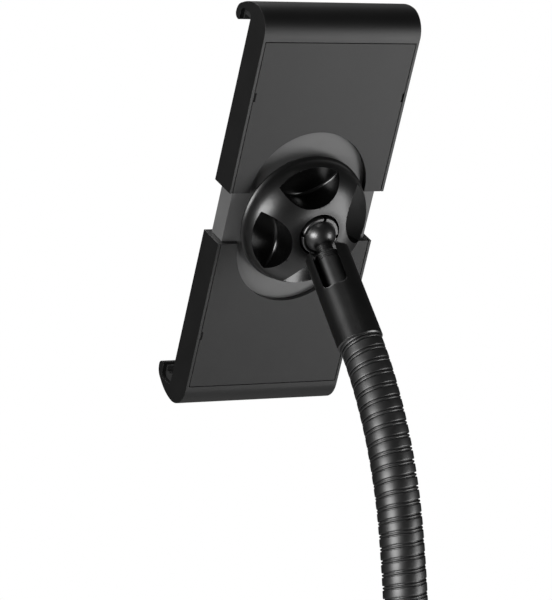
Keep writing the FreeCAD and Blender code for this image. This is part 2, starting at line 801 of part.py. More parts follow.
def clamp_knob():
    """The domed nut that closes the petals, with four scooped finger grips."""
    skirt = "knob_skirt_od / 2"
    dome_foot = "knob_rim_level + knob_rim_thick + knob_step"
    blank = turned("knob_blank", [
        (skirt, "body_back + 0.4"),
        (skirt, "knob_rim_level"),
        ("knob_od / 2 - 0.3", "knob_rim_level"),
        ("knob_od / 2", "knob_rim_level + 0.3"),
        ("knob_od / 2", "knob_rim_level + knob_rim_thick - 0.4"),
        ("knob_od / 2 - 0.4", "knob_rim_level + knob_rim_thick"),
        ("knob_od / 2 - knob_step", dome_foot, "knob_shoulder_radius", 1),
        ("knob_od / 2 - knob_step - knob_shoulder_in", f"{dome_foot} + knob_shoulder_up",
         "knob_dome_radius", 1),
        ("knob_top_od / 2", "knob_top_level"),
        ("knob_mouth_od / 2", "knob_top_level"),
        ("knob_mouth_od / 2", "clamp_thread_top + 4"),
        ("clamp_thread_od / 2 + fit", "clamp_thread_top + 0.2"),
        ("clamp_thread_od / 2 + fit", "body_back + clamp_flange_thick + 0.4"),
        ("clamp_thread_od / 2 + knob_hub_wall", "body_back + clamp_flange_thick + 0.4"),
        ("clamp_thread_od / 2 + knob_hub_wall", "knob_cavity_level"),
        (f"{skirt} - knob_skirt_wall", "knob_cavity_level"),
        (f"{skirt} - knob_skirt_wall", "body_back + 0.4"),
    ])
    scoops = []
    for i, turn in enumerate(ring_places(int(size("scoop_count")), size("scoop_turn"))):
        wall = doc.addObject("Part::Cylinder", f"scoop_wall_{i}")
        bind(wall, Radius="scoop_wall_radius", Height="60")
        wall.Placement = Placement(Vector(size("scoop_wall_offset"), 0, size("scoop_floor_level")),
                                   Rotation(Vector(0, 1, 0), -size("scoop_wall_tilt")))
        floor = doc.addObject("Part::Sphere", f"scoop_floor_{i}")
        bind(floor, Radius="scoop_floor_radius", Placement__Base__x="scoop_floor_offset",
             Placement__Base__z="scoop_floor_level + scoop_floor_radius")
        scoop = doc.addObject("Part::Common", f"scoop_{i}")
        scoop.Base = wall
        scoop.Tool = floor
        scoop.Placement = turn
        scoops.append(scoop)
    keep(cut("knob", blank, *scoops), "clamp_knob", CLAMP)


# Holder body

PLATE_SCREW_PLACES = [
    ("-plate_screw_x", "-plate_screw_z"), ("-plate_screw_x", "plate_screw_z"),
    ("plate_screw_x", "-plate_screw_z"), ("plate_screw_x", "plate_screw_z"),
]


def centre_body():
    """The shell that the jaws slide on, open at the front and slotted at each end for a rack."""
    half = "body_width / 2"
    end = "body_length / 2"
    shell = drawn_across("shell", [
        ("body_front", f"-{end}"),
        ("body_back - body_chamfer", f"-{end}"),
        ("body_back", f"body_chamfer - {end}"),
        ("body_back", f"{end} - body_chamfer"),
        ("body_back - body_chamfer", end),
        ("body_front", end),
    ], "body_width")
    hollow = box("hollow", (f"body_wall - {half}", f"{half} - body_wall"),
                 ("body_front - 1", "body_back - body_wall"), (f"body_wall - {end}", f"{end} - body_wall"))
    inner = cut("open_shell", shell, hollow)
    floor = "body_back - body_wall"
    post_foot = "body_front + plate_thick + plate_inset"
    reach = "clamp_screw_circle / 2"
    clamp_places = ((reach, "0"), (f"-{reach}", "0"), ("0", reach), ("0", f"-{reach}"))
    posts = [rod("axle_boss", "pinion_pin_od / 2 + 2", ("0", f"{floor} - 0.8", "0"), "1.8", "y")]
    holes = [rod("axle_hole", "pinion_pin_od / 2", ("0", f"{floor} - 3", "0"), "body_wall + 2", "y")]
    for i, (x, z) in enumerate(PLATE_SCREW_PLACES):
        posts.append(rod(f"post_{i}", "plate_post_od / 2", (x, post_foot, z),
                         f"{floor} + 1 - ({post_foot})", "y"))
        holes.append(rod(f"tap_{i}", "plate_screw_od / 2", (x, "body_front", z), "plate_screw_length + 0.5",
                         "y"))
    for i, (x, z) in enumerate(clamp_places):
        posts.append(rod(f"boss_{i}", "clamp_screw_od / 2 + 1.2", (x, f"{floor} - 2.4", z), "3.4", "y"))
        holes.append(rod(f"hole_{i}", "clamp_screw_od / 2", (x, f"{floor} - 4", z), "body_wall + 5", "y"))
    solid = joined("ribbed_shell", inner, *posts)
    slot_near = "gear_pitch_radius - gear_addendum - 0.6"
    slot_far = "rack_back + 0.6"
    deep = ("gear_front - 0.5", "gear_front + gear_thick + 0.5")
    holes.append(box("upper_rack_slot", (slot_near, slot_far), deep,
                     (f"{end} - body_wall - 1", f"{end} + 1")))
    holes.append(box("lower_rack_slot", (f"-({slot_far})", f"-({slot_near})"), deep,
                     (f"-{end} - 1", f"body_wall + 1 - {end}")))
    keep(cut("body", solid, *holes), "centre_body", HOLDER)


def front_plate():
    half = "(body_width / 2 - body_wall - plate_inset)"
    end = "(body_length / 2 - body_wall - plate_inset)"
    plate = box("plate_panel", (f"-{half}", half), ("body_front", "body_front + plate_thick"),
                (f"-{end}", end))
    strip = box("plate_strip", ("-strip_width / 2", "strip_width / 2"), ("strip_front", "body_front + 0.5"),
                (f"-{end}", end))
    holes = [rod("plate_axle_hole", "pinion_pin_od / 2", ("0", "body_front", "0"), "5", "y")]
    for i, (x, z) in enumerate(PLATE_SCREW_PLACES):
        holes.append(rod(f"plate_hole_{i}", "plate_screw_od / 2 + seat", (x, "body_front - 1", z), "5", "y"))
        holes.append(cone(f"plate_sink_{i}", "plate_screw_od / 2 + plate_screw_head + 2 * seat",
                          "plate_screw_od / 2 + seat", (x, "body_front", z), "plate_screw_head + seat", "y"))
    keep(cut("plate_drilled", joined("plate_blank", plate, strip), *holes), "front_plate", HOLDER)


def plate_screws():
    screws = []
    for i, (x, z) in enumerate(PLATE_SCREW_PLACES):
        start = (x, "body_front + seat", z)
        head = cone(f"plate_screw_head_{i}", "plate_screw_od / 2 + plate_screw_head",
                    "plate_screw_od / 2 - fit", start, "plate_screw_head", "y")
        shank = rod(f"plate_screw_shank_{i}", "plate_screw_od / 2 - fit", start, "plate_screw_length", "y")
        screws.append(joined(f"plate_screw_{i}", head, shank))
    keep(group("plate_screw_set", *screws), "front_plate_screws", HOLDER)


def centre_pad():
    pad = box("pad_strip", ("-centre_pad_width / 2", "centre_pad_width / 2"),
              ("strip_front - pad_thick", "strip_front"), ("-centre_pad_length / 2", "centre_pad_length / 2"))
    keep(pad, "centre_pad", HOLDER)


# Jaws

def jaw_profile():
    """The jaw's section, from its inner edge round the hook and back, as corners (y, z)."""
    grip = "grip_opening / 2"
    return [
        ("jaw_back", "jaw_gap / 2"),
        ("jaw_back", f"{grip} - 1.5", "11", 1),
        ("5.5", f"{grip} + hook_reach", "24", 1),
        ("-7.6", f"{grip} + 4.9", "6", 1),
        ("-hook_depth", f"{grip} - 0.2", "2.6", 1),
        ("-9", f"{grip} - 3.3", "1.2", 1),
        ("-channel_depth", f"{grip} - 2.6"),
        ("-channel_depth", f"{grip} + 1.2", "2.6", -1),
        ("2.5 - channel_depth", f"{grip} + channel_end"),
        ("jaw_front - 1.8", f"{grip} + channel_end", "1.8", -1),
        ("jaw_front", f"{grip} + channel_end - 1.75"),
        ("jaw_front", "jaw_gap / 2"),
    ]


def jaw(side):
    """A hooked shell that slides on the body, with a round cut-out for the clamp."""
    screw_x = "gear_pitch_radius + 2"
    screw_z = "pocket_end + rack_foot_length / 2"
    blank = drawn_across(f"{side}_jaw_blank", jaw_profile(), "jaw_width")
    pocket = box(f"{side}_pocket", ("-body_width / 2 - slide_gap", "body_width / 2 + slide_gap"),
                 ("body_front - slide_gap", "body_back + slide_gap"), ("0", "pocket_end"))
    window = box(f"{side}_window", ("-strip_width / 2 - slide_gap * 2", "strip_width / 2 + slide_gap * 2"),
                 ("jaw_front - 1", "body_front"), ("0", "pocket_end"))
    cutout = rod(f"{side}_cutout", "cutout_radius", ("0", "body_back", "jaw_gap / 2"), "5", "y")
    recess = box(f"{side}_recess", ("cover_margin - cover_groove - jaw_width / 2",
                                    "jaw_width / 2 - cover_margin + cover_groove"),
                 ("jaw_back - cover_thick", "jaw_back + 1"),
                 ("0", "grip_opening / 2 - cover_end + cover_groove"))
    foot = box(f"{side}_foot_seat",
               (f"{screw_x} - rack_foot_width / 2 - seat", f"{screw_x} + rack_foot_width / 2 + seat"),
               ("rack_foot_front - seat", "rack_foot_back + seat"),
               ("pocket_end - 1", "pocket_end + rack_foot_length + seat"))
    screw = rod(f"{side}_screw_hole", "rack_screw_od / 2 + seat", (screw_x, "jaw_front - 1", screw_z),
                "5", "y")
    sink = rod(f"{side}_screw_sink", "rack_screw_head_od / 2 + seat", (screw_x, "jaw_front - 1", screw_z),
               "2.3 + seat", "y")
    body = cut(f"{side}_jaw_body", blank, pocket, window, cutout, recess, foot, screw, sink)
    keep(body, f"{side}_jaw", JAWS[side])


def jaw_cover(side):
    """The flat panel let into the jaw's back, with a small pry notch at each side."""
    half = "jaw_width / 2 - cover_margin"
    panel = box(f"{side}_panel", (f"-({half})", half), ("jaw_back - cover_thick", "jaw_back"),
                ("jaw_gap / 2", "grip_opening / 2 - cover_end"))
    cutout = rod(f"{side}_panel_cutout", "cutout_radius", ("0", "body_back", "jaw_gap / 2"), "5", "y")
    notches = []
    for i, x in enumerate((f"-({half})", f"{half} - cover_notch_depth")):
        notches.append(box(f"{side}_notch_{i}", (x, f"({x}) + cover_notch_depth"),
                           ("jaw_back - 0.7", "jaw_back + 1"),
                           ("grip_opening / 2 - 32", "grip_opening / 2 - 32 + cover_notch_length")))
    keep(cut(f"{side}_cover", panel, cutout, *notches), f"{side}_jaw_cover", JAWS[side])


def hook_pad(side):
    """The rubber lining of the hook."""
    grip = "grip_opening / 2"
    lining = drawn_across(f"{side}_lining", [
        ("0.05", f"{grip} - 5"),
        ("jaw_front - fit", f"{grip} - 5"),
        ("jaw_front - fit", f"{grip} + channel_end - 1.8", "1.75", 1),
        ("jaw_front - 1.8", f"{grip} + channel_end - fit"),
        ("2.5 - channel_depth", f"{grip} + channel_end - fit", "2.55", 1),
        ("fit - channel_depth", f"{grip} + 1.15"),
        ("fit - channel_depth", f"{grip} - 2.4"),
        ("1.1 - channel_depth", f"{grip} - 2.4"),
        ("1.1 - channel_depth", f"{grip} + 0.05"),
        ("0.05", f"{grip} + 0.05"),
    ], "hook_pad_width")
    keep(lining, f"{side}_hook_pad", JAWS[side])


def back_pad(side):
    strip = box(f"{side}_pad_strip", ("-back_pad_width / 2", "back_pad_width / 2"),
                ("jaw_front - pad_thick", "jaw_front"),
                ("grip_opening / 2 - 6 - back_pad_length", "grip_opening / 2 - 6"))
    keep(strip, f"{side}_back_pad", JAWS[side])


# Rack, pinion and springs

def involute(angle, base_radius):
    """A point of the involute of a circle."""
    return Vector(base_radius * (math.cos(angle) + angle * math.sin(angle)),
                  base_radius * (math.sin(angle) - angle * math.cos(angle)), 0)


def prism(points, length):
    """A straight bar from a closed outline."""
    return Part.Face(Part.makePolygon(points + [points[0]])).extrude(Vector(0, 0, length))


def pinion():
    pitch_radius = size("gear_pitch_radius")
    teeth = int(size("gear_teeth"))
    base_radius = pitch_radius * math.cos(math.radians(20))
    root = pitch_radius - size("gear_dedendum")
    tip = pitch_radius + size("gear_addendum")
    at_pitch = math.sqrt((pitch_radius / base_radius) ** 2 - 1)
    at_tip = math.sqrt((tip / base_radius) ** 2 - 1)
    half_tooth = math.pi / (2 * teeth) - size("gear_backlash") / (4 * pitch_radius)
    lean_at_pitch = math.atan2(involute(at_pitch, base_radius).y, involute(at_pitch, base_radius).x)
    points = []
    for tooth in range(teeth):
        middle = 2 * math.pi * tooth / teeth
        flank = []
        for step in range(5):
            point = involute(at_tip * step / 4, base_radius)
            flank.append((point.Length, half_tooth + lean_at_pitch - math.atan2(point.y, point.x)))
        flank.insert(0, (root, flank[0][1] + 0.02))
        points += [Vector(r * math.cos(middle - a), r * math.sin(middle - a), 0) for r, a in flank]
        points += [Vector(r * math.cos(middle + a), r * math.sin(middle + a), 0) for r, a in reversed(flank)]
    wheel = prism(points, size("gear_thick"))
    bore = Part.makeCylinder(size("pinion_pin_od / 2 + fit"), size("gear_thick"))
    gear = doc.addObject("Part::Feature", "gear")
    gear.Shape = wheel.cut(bore)
    keep(gear, "pinion", CLAMP * at(size("gear_front")))


def pinion_pin():
    keep(rod("pin_blank", "pinion_pin_od / 2 - fit / 2", ("0", "body_front + 0.6", "0"),
             "body_back - body_front - 1.7", "y"), "pinion_pin", HOLDER)


def rack_points():
    """The rack's outline as (x, z): its toothed side faces the pinion, and its foot sits in the jaw."""
    pitch = 2 * math.pi * size("gear_pitch_radius / gear_teeth")
    slope = math.tan(math.radians(20))
    line = size("gear_pitch_radius")
    tip = line - size("gear_addendum")
    root = line + size("gear_dedendum")
    back = size("rack_back")
    low = -size("rack_free_end")
    top = size("pocket_end")
    foot = size("rack_foot_width") / 2
    half_space = pitch / 4 + size("gear_backlash") / 4
    points = [Vector(back, low, 0), Vector(back, top, 0)]
    middle = line + 2
    points += [Vector(middle + foot, top, 0), Vector(middle + foot, top + size("rack_foot_length"), 0)]
    points += [Vector(middle - foot, top + size("rack_foot_length"), 0), Vector(middle - foot, top, 0)]
    points.append(Vector(root, top, 0))
    wide = half_space + size("gear_addendum") * slope
    narrow = half_space - size("gear_dedendum") * slope
    highest = math.ceil((size("jaw_gap") / 2 + 5) / pitch)
    lowest = -math.floor(size("rack_free_end") / pitch)
    for i in range(highest, lowest - 1, -1):
        centre = i * pitch
        if i < highest:
            points += [Vector(tip, centre + wide, 0), Vector(root, centre + narrow, 0)]
        if i > lowest:
            points += [Vector(root, centre - narrow, 0), Vector(tip, centre - wide, 0)]
    points.append(Vector(root, low, 0))
    return points


def rack(side):
    """A toothed arm from the jaw into the body."""
    thick = size("gear_thick")
    bar = prism(rack_points(), thick)
    screw_x = size("gear_pitch_radius + 2")
    corner = Vector(screw_x - size("rack_foot_width / 2"), size("pocket_end"),
                    size("gear_front + gear_thick - rack_foot_back"))
    depth = size("rack_foot_back - rack_foot_front")
    foot = Part.makeBox(size("rack_foot_width"), size("rack_foot_length"), depth, corner)
    hole = Part.makeCylinder(size("rack_screw_od / 2"), depth + 2,
                             Vector(screw_x, size("pocket_end + rack_foot_length / 2"), corner.z - 1))
    arm = doc.addObject("Part::Feature", f"{side}_rack_arm")
    arm.Shape = bar.fuse(foot).removeSplitter().cut(hole)
    # The outline's z is the holder's normal reversed, so that its y runs up the holder.
    flat = Placement(Vector(0, size("gear_front + gear_thick"), 0), Rotation(Vector(1, 0, 0), 90))
    keep(arm, f"{side}_rack", JAWS[side] * flat)


def rack_screw(side):
    x, z = "gear_pitch_radius + 2", "pocket_end + rack_foot_length / 2"
    head = rod(f"{side}_rack_screw_head", "rack_screw_head_od / 2", (x, "jaw_front + seat", z), "1.2", "y")
    shank = rod(f"{side}_rack_screw_shank", "rack_screw_od / 2 - fit", (x, "jaw_front + seat", z), "8", "y")
    keep(joined(f"{side}_rack_screw_blank", head, shank), f"{side}_rack_screw", JAWS[side])


def jaw_spring(side):
    """The spring that draws the jaw in, from the body's far end wall to the rack's free end."""
    x = "(gear_pitch_radius + rack_back) / 2"
    y = "gear_front + gear_thick / 2"
    start = "body_wall - body_length / 2"
    length = "body_length / 2 - body_wall - rack_free_end - fit"
    outside = rod(f"{side}_spring_outside", "spring_od / 2", (x, y, start), length)
    inside = rod(f"{side}_spring_inside", "spring_od / 2 - spring_wire", (x, y, f"{start} - 1"),
                 f"{length} + 2")
    keep(cut(f"{side}_spring_coil", outside, inside), f"{side}_jaw_spring", JAWS[side])


base_mat()
base_plate()
pole_flange()
base_screws()
set_screw()
tube("pole", "pole_od", "pole_wall", "pole_length", "lower_tube", PLATE_TOP)
tube("slider", "tube_od", "tube_wall", "tube_length", "upper_tube", TUBE_FOOT)
glide_plug()
height_lock_body()
height_lock_collet()
height_lock_sleeve()
tube_top_plug()
neck_lock_nut()
lower_ferrule()
for section in range(1, len(SECTION_LEANS) + 1):
    neck_section(section)
upper_ferrule()
ball_stem()
friction_pad()
thrust_cup()
ball_socket()
socket_screws()
clamp_knob()
centre_body()
front_plate()
plate_screws()
centre_pad()
pinion()
pinion_pin()
for jaw_side in JAWS:
    jaw(jaw_side)
    jaw_cover(jaw_side)
    hook_pad(jaw_side)
    back_pad(jaw_side)
    rack(jaw_side)
    rack_screw(jaw_side)
    jaw_spring(jaw_side)
doc.recompute()

for thing in doc.Objects:
    if "Invalid" in thing.State or "Error" in thing.State:
        raise RuntimeError(f"{thing.Label} failed: {thing.State}")
for thing in parts:
    if thing.Shape.isNull() or not thing.Shape.isValid() or not thing.Shape.Solids:
        raise RuntimeError(f"{thing.Label} has no valid solid")

os.makedirs("parts", exist_ok=True)
for thing in parts:
    solids = thing.Shape.Solids
    shape = solids[0] if len(solids) == 1 else Part.makeCompound(solids)
    shape.exportStep(f"parts/{thing.Label}.step")
print(len(parts), "pieces")
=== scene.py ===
import json
import math

import bmesh
import bpy
from mathutils import Matrix, Vector

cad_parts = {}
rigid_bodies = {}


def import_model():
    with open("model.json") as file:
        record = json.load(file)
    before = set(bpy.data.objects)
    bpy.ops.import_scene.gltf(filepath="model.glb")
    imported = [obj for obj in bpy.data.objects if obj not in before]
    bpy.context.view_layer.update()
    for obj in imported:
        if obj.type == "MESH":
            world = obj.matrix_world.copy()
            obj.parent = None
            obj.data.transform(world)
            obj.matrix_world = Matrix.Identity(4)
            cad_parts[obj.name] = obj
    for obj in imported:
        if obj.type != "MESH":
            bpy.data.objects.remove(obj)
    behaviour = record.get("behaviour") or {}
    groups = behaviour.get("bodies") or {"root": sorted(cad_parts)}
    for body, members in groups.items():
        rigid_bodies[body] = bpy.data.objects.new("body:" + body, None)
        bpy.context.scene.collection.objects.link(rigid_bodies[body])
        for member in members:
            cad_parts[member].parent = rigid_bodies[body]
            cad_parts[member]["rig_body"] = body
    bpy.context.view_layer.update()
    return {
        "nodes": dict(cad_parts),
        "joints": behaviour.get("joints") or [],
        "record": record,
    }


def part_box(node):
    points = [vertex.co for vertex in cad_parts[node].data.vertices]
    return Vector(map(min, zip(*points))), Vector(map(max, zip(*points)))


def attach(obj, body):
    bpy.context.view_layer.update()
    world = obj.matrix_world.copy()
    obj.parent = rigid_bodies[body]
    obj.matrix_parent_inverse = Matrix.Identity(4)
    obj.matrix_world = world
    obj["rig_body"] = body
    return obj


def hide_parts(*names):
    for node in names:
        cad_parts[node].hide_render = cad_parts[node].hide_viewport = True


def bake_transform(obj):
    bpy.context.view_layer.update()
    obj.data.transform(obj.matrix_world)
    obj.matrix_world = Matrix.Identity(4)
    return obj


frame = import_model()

# Row frame in metres: +Z up, the floor at z = 0, the user on the -Y side.
MM = 0.001
JOINTS = {joint["name"]: joint for joint in frame["joints"]}


def joint_point(name):
    return Vector(JOINTS[name]["pos_m"])


def joint_axis(name):
    return Vector(JOINTS[name]["axis"]).normalized()


# The holder's frame: across, up the holder, and out of its back. The grip plane is where the held panel's
# back lies.
BALL_LEVEL = 34 * MM
BALL = joint_point("holder_tilt")
NORMAL = joint_axis("holder_spin")
UP = joint_axis("upper_jaw_slide")
ACROSS = Vector((1, 0, 0))
GRIP_CENTRE = BALL - NORMAL * BALL_LEVEL


def clear_start():
    """Takes away the objects of the starting file."""
    for name in ("Cube", "Light", "Camera"):
        if name in bpy.data.objects:
            bpy.data.objects.remove(bpy.data.objects[name])


def show(name, data):
    """A new object in the scene."""
    thing = bpy.data.objects.new(name, data)
    bpy.context.scene.collection.objects.link(thing)
    return thing


def mesh_of(name, form):
    """A smooth mesh from a finished form."""
    mesh = bpy.data.meshes.new(name)
    form.to_mesh(mesh)
    form.free()
    mesh.shade_smooth()
    return mesh


# Camera, behind the holder and a little above it. The side and rise place the grip centre in the picture.

VIEW_AZIMUTH = 150.34
VIEW_ELEVATION = 3.36
VIEW_DISTANCE = 1.526
VIEW_SIDE = 0.004
VIEW_RISE = 0.045
LENS = 201.24
SENSOR_WIDTH = 36
NEAREST = 0.1
FARTHEST = 20


def view_axes():
    """The camera's right, up and backward directions."""
    a = math.radians(VIEW_AZIMUTH)
    e = math.radians(VIEW_ELEVATION)
    back = Vector((math.sin(a) * math.cos(e), -math.cos(a) * math.cos(e), math.sin(e)))
    right = Vector((0, 0, 1)).cross(back).normalized()
    return right, back.cross(right), back


def make_camera():
    right, up, back = view_axes()
    data = bpy.data.cameras.new("camera")
    data.lens = LENS
    data.sensor_width = SENSOR_WIDTH
    data.clip_start = NEAREST
    data.clip_end = FARTHEST
    camera = show("camera", data)
    camera.location = GRIP_CENTRE - right * VIEW_SIDE - up * VIEW_RISE + back * VIEW_DISTANCE
    camera.rotation_euler = Matrix((right, up, back)).transposed().to_euler()
    bpy.context.scene.camera = camera


# Studio: a white background and a few soft lights. The background lights the object only faintly.

ROOM_LIGHT = 0.035
FLOOR_REACH = 3
FLOOR_GREYS = (0.78, 0.84)
FLOOR_GLOW = 0.75
# Each light's direction in the camera's right, up and backward axes, its distance from the grip centre, its
# width and height, and its power.
LIGHTS = {
    "left": ((-0.61, -0.12, 0.78), 1.4, (0.9, 0.5), 14),
    "right": ((0.87, -0.33, 0.2), 1.1, (0.4, 0.9), 6),
    "rim": ((-0.78, 0.6, 0.2), 1.2, (0.35, 0.35), 4),
    "above": ((-0.15, 0.95, 0.25), 1.2, (0.6, 0.6), 2),
    "behind": ((-0.3, 0.85, -0.45), 1.2, (0.6, 0.6), 8),
}


def area_light(name, direction, distance, size, power):
    """A soft light that looks at the grip centre."""
    right, up, back = view_axes()
    towards = (right * direction[0] + up * direction[1] + back * direction[2]).normalized()
    data = bpy.data.lights.new(name, "AREA")
    data.shape = "RECTANGLE"
    data.size, data.size_y = size
    data.energy = power
    light = show(name, data)
    light.location = GRIP_CENTRE + towards * distance
    light.rotation_euler = towards.to_track_quat("Z", "Y").to_euler()


def make_world():
    """White for the camera and nearly dark for everything else."""
    world = bpy.data.worlds.new("studio")
    world.use_nodes = True
    tree = world.node_tree
    background = tree.nodes["Background"]
    background.inputs["Color"].default_value = (1, 1, 1, 1)
    seen = node(tree, "ShaderNodeLightPath")
    strength = node(tree, "ShaderNodeMapRange")
    strength.inputs["To Min"].default_value = ROOM_LIGHT
    strength.inputs["To Max"].default_value = 1.0
    tree.links.new(seen.outputs["Is Camera Ray"], strength.inputs["Value"])
    tree.links.new(strength.outputs["Result"], background.inputs["Strength"])
    bpy.context.scene.world = world


def make_floor():
    mesh = bpy.data.meshes.new("floor")
    reach = FLOOR_REACH
    corners = [(-reach, -reach, 0), (reach, -reach, 0), (reach, reach, 0), (-reach, reach, 0)]
    mesh.from_pydata(corners, [], [(0, 1, 2, 3)])
    floor = show("floor", mesh)
    mesh.materials.append(plain_floor())


def make_studio():
    bpy.context.scene.view_settings.view_transform = "Standard"
    make_world()
    make_floor()
    for name, (direction, distance, size, power) in LIGHTS.items():
        area_light(name, direction, distance, size, power)


# Materials

def shader(name):
    """A new material with its shader node."""
    material = bpy.data.materials.new(name)
    material.use_nodes = True
    return material, material.node_tree, material.node_tree.nodes["Principled BSDF"]


def node(tree, kind, **values):
    """A shader node with its sockets set by name, or its properties."""
    made = tree.nodes.new(kind)
    for key, value in values.items():
        if key in made.inputs:
            made.inputs[key].default_value = value
        else:
            setattr(made, key, value)
    return made


def plain_floor():
    """A pale floor. The camera sees it brighter than it lights the object."""
    material, tree, bsdf = shader("pale_floor")
    noise = node(tree, "ShaderNodeTexNoise", Scale=3.0, Detail=4.0)
    ramp = node(tree, "ShaderNodeValToRGB")
    for element, grey in zip(ramp.color_ramp.elements, FLOOR_GREYS):
        element.color = (grey, grey, grey, 1)
    tree.links.new(noise.outputs["Fac"], ramp.inputs["Fac"])
    tree.links.new(ramp.outputs["Color"], bsdf.inputs["Base Color"])
    tree.links.new(ramp.outputs["Color"], bsdf.inputs["Emission Color"])
    seen = node(tree, "ShaderNodeLightPath")
    glow = node(tree, "ShaderNodeMath", operation="MULTIPLY")
    glow.inputs[1].default_value = FLOOR_GLOW
    tree.links.new(seen.outputs["Is Camera Ray"], glow.inputs[0])
    tree.links.new(glow.outputs["Value"], bsdf.inputs["Emission Strength"])
    bsdf.inputs["Roughness"].default_value = 0.8
    return material


# Finishes: the darkest and lightest grey of the mottling, the lowest and highest roughness, and the grain as
# the size of its cells and their height in millimetres.
FINISHES = {
    "jaw_plastic": dict(greys=(0.002, 0.003), roughness=(0.42, 0.48), grain=(0.35, 0.014), specular=0.75),
    "cover_plastic": dict(greys=(0.012, 0.018), roughness=(0.44, 0.52), grain=(0.35, 0.02), specular=0.58),
    "body_plastic": dict(greys=(0.11, 0.13), roughness=(0.5, 0.58), grain=(0.35, 0.012), specular=1.0,
                         coat=0.3),
    "knob_plastic": dict(greys=(0.004, 0.007), roughness=(0.32, 0.38), grain=(0.4, 0.01), specular=0.8,
                         coat=0.3),
    "knob_gloss": dict(greys=(0.001, 0.002), roughness=(0.2, 0.24), grain=(0.4, 0.003), specular=0.8),
    "black_plastic": dict(greys=(0.010, 0.015), roughness=(0.42, 0.5), grain=(0.4, 0.012)),
    "pale_plastic": dict(greys=(0.64, 0.68), roughness=(0.38, 0.46), grain=(0.6, 0.006),
                         tint=(1.03, 1.0, 0.91)),
    "rubber": dict(greys=(0.012, 0.018), roughness=(0.75, 0.85), grain=(0.3, 0.02)),
    "ball_metal": dict(greys=(0.13, 0.16), roughness=(0.34, 0.4), grain=(0.3, 0.008), metallic=1.0),
    "ferrule_metal": dict(greys=(0.1, 0.12), roughness=(0.3, 0.36), grain=(0.35, 0.01), metallic=1.0),
    "neck_metal": dict(greys=(0.1, 0.13), roughness=(0.4, 0.48), grain=(0.35, 0.01), metallic=1.0),
    "black_metal": dict(greys=(0.012, 0.016), roughness=(0.34, 0.42), grain=(0.35, 0.01)),
    "base_paint": dict(greys=(0.012, 0.018), roughness=(0.5, 0.6), grain=(0.7, 0.05)),
    "steel": dict(greys=(0.5, 0.58), roughness=(0.28, 0.36), grain=(0.2, 0.004), metallic=1.0),
    "spring_steel": dict(greys=(0.5, 0.6), roughness=(0.22, 0.3), grain=(0.2, 0.003), metallic=1.0),
}
# The mottling's scale per metre, the noise levels where its two greys begin, and the grain's strength.
MOTTLE_SCALE = 60.0
MOTTLE_LEVELS = (0.3, 0.7)
GRAIN_STRENGTH = 0.6


def finish_of(name, greys, roughness, grain, tint=(1, 1, 1), metallic=0.0, specular=0.5, coat=0.0):
    """A moulded or coated surface: a little mottling in its colour and gloss, and a fine grain."""
    material, tree, bsdf = shader(name)
    place = node(tree, "ShaderNodeTexCoord")
    patches = node(tree, "ShaderNodeTexNoise", Scale=MOTTLE_SCALE, Detail=5.0, Roughness=0.6)
    tree.links.new(place.outputs["Object"], patches.inputs["Vector"])
    ramp = node(tree, "ShaderNodeValToRGB")
    for element, position, grey in zip(ramp.color_ramp.elements, MOTTLE_LEVELS, greys):
        element.position = position
        element.color = (*(grey * part for part in tint), 1)
    tree.links.new(patches.outputs["Fac"], ramp.inputs["Fac"])
    tree.links.new(ramp.outputs["Color"], bsdf.inputs["Base Color"])
    gloss = node(tree, "ShaderNodeMapRange")
    gloss.inputs["To Min"].default_value = roughness[0]
    gloss.inputs["To Max"].default_value = roughness[1]
    tree.links.new(patches.outputs["Fac"], gloss.inputs["Value"])
    tree.links.new(gloss.outputs["Result"], bsdf.inputs["Roughness"])
    size, depth = grain
    cells = node(tree, "ShaderNodeTexNoise", Scale=1 / (size * MM), Detail=2.0)
    tree.links.new(place.outputs["Object"], cells.inputs["Vector"])
    bump = node(tree, "ShaderNodeBump", Strength=GRAIN_STRENGTH, Distance=depth * MM)
    tree.links.new(cells.outputs["Fac"], bump.inputs["Height"])
    tree.links.new(bump.outputs["Normal"], bsdf.inputs["Normal"])
    bsdf.inputs["Metallic"].default_value = metallic
    bsdf.inputs["Specular IOR Level"].default_value = specular
    bsdf.inputs["Coat Weight"].default_value = coat
    bsdf.inputs["Coat Roughness"].default_value = roughness[1]
    return material


def make_materials():
    """One material for each of the record's slots, and the gloss inside the knob's scoops."""
    return {name: finish_of(name, **values) for name, values in FINISHES.items()}


def dress_nodes(materials):
    """Every CAD node gets its slot's material."""
    for entry in frame["record"]["subparts"]:
        mesh = frame["nodes"][entry["node"]].data
        mesh.materials.clear()
        mesh.materials.append(materials[entry["material_slot"]])


# Rounded copies of moulded pieces, with the width of each one's rounded edges in millimetres

ROUNDED = {
    "centre_body": 0.4, "upper_jaw": 0.35, "lower_jaw": 0.35, "upper_jaw_cover": 0.15,
    "lower_jaw_cover": 0.15, "clamp_knob": 0.35, "neck_upper_ferrule": 0.25, "ball_socket": 0.15,
    "neck_lower_ferrule": 0.3, "height_lock_sleeve": 0.3,
}
WELD = 0.002 * MM
FLAT_ANGLE = math.radians(0.5)
EDGE_ANGLE = math.radians(30)
CREASE_ANGLE = math.radians(40)
EDGE_STEPS = 2


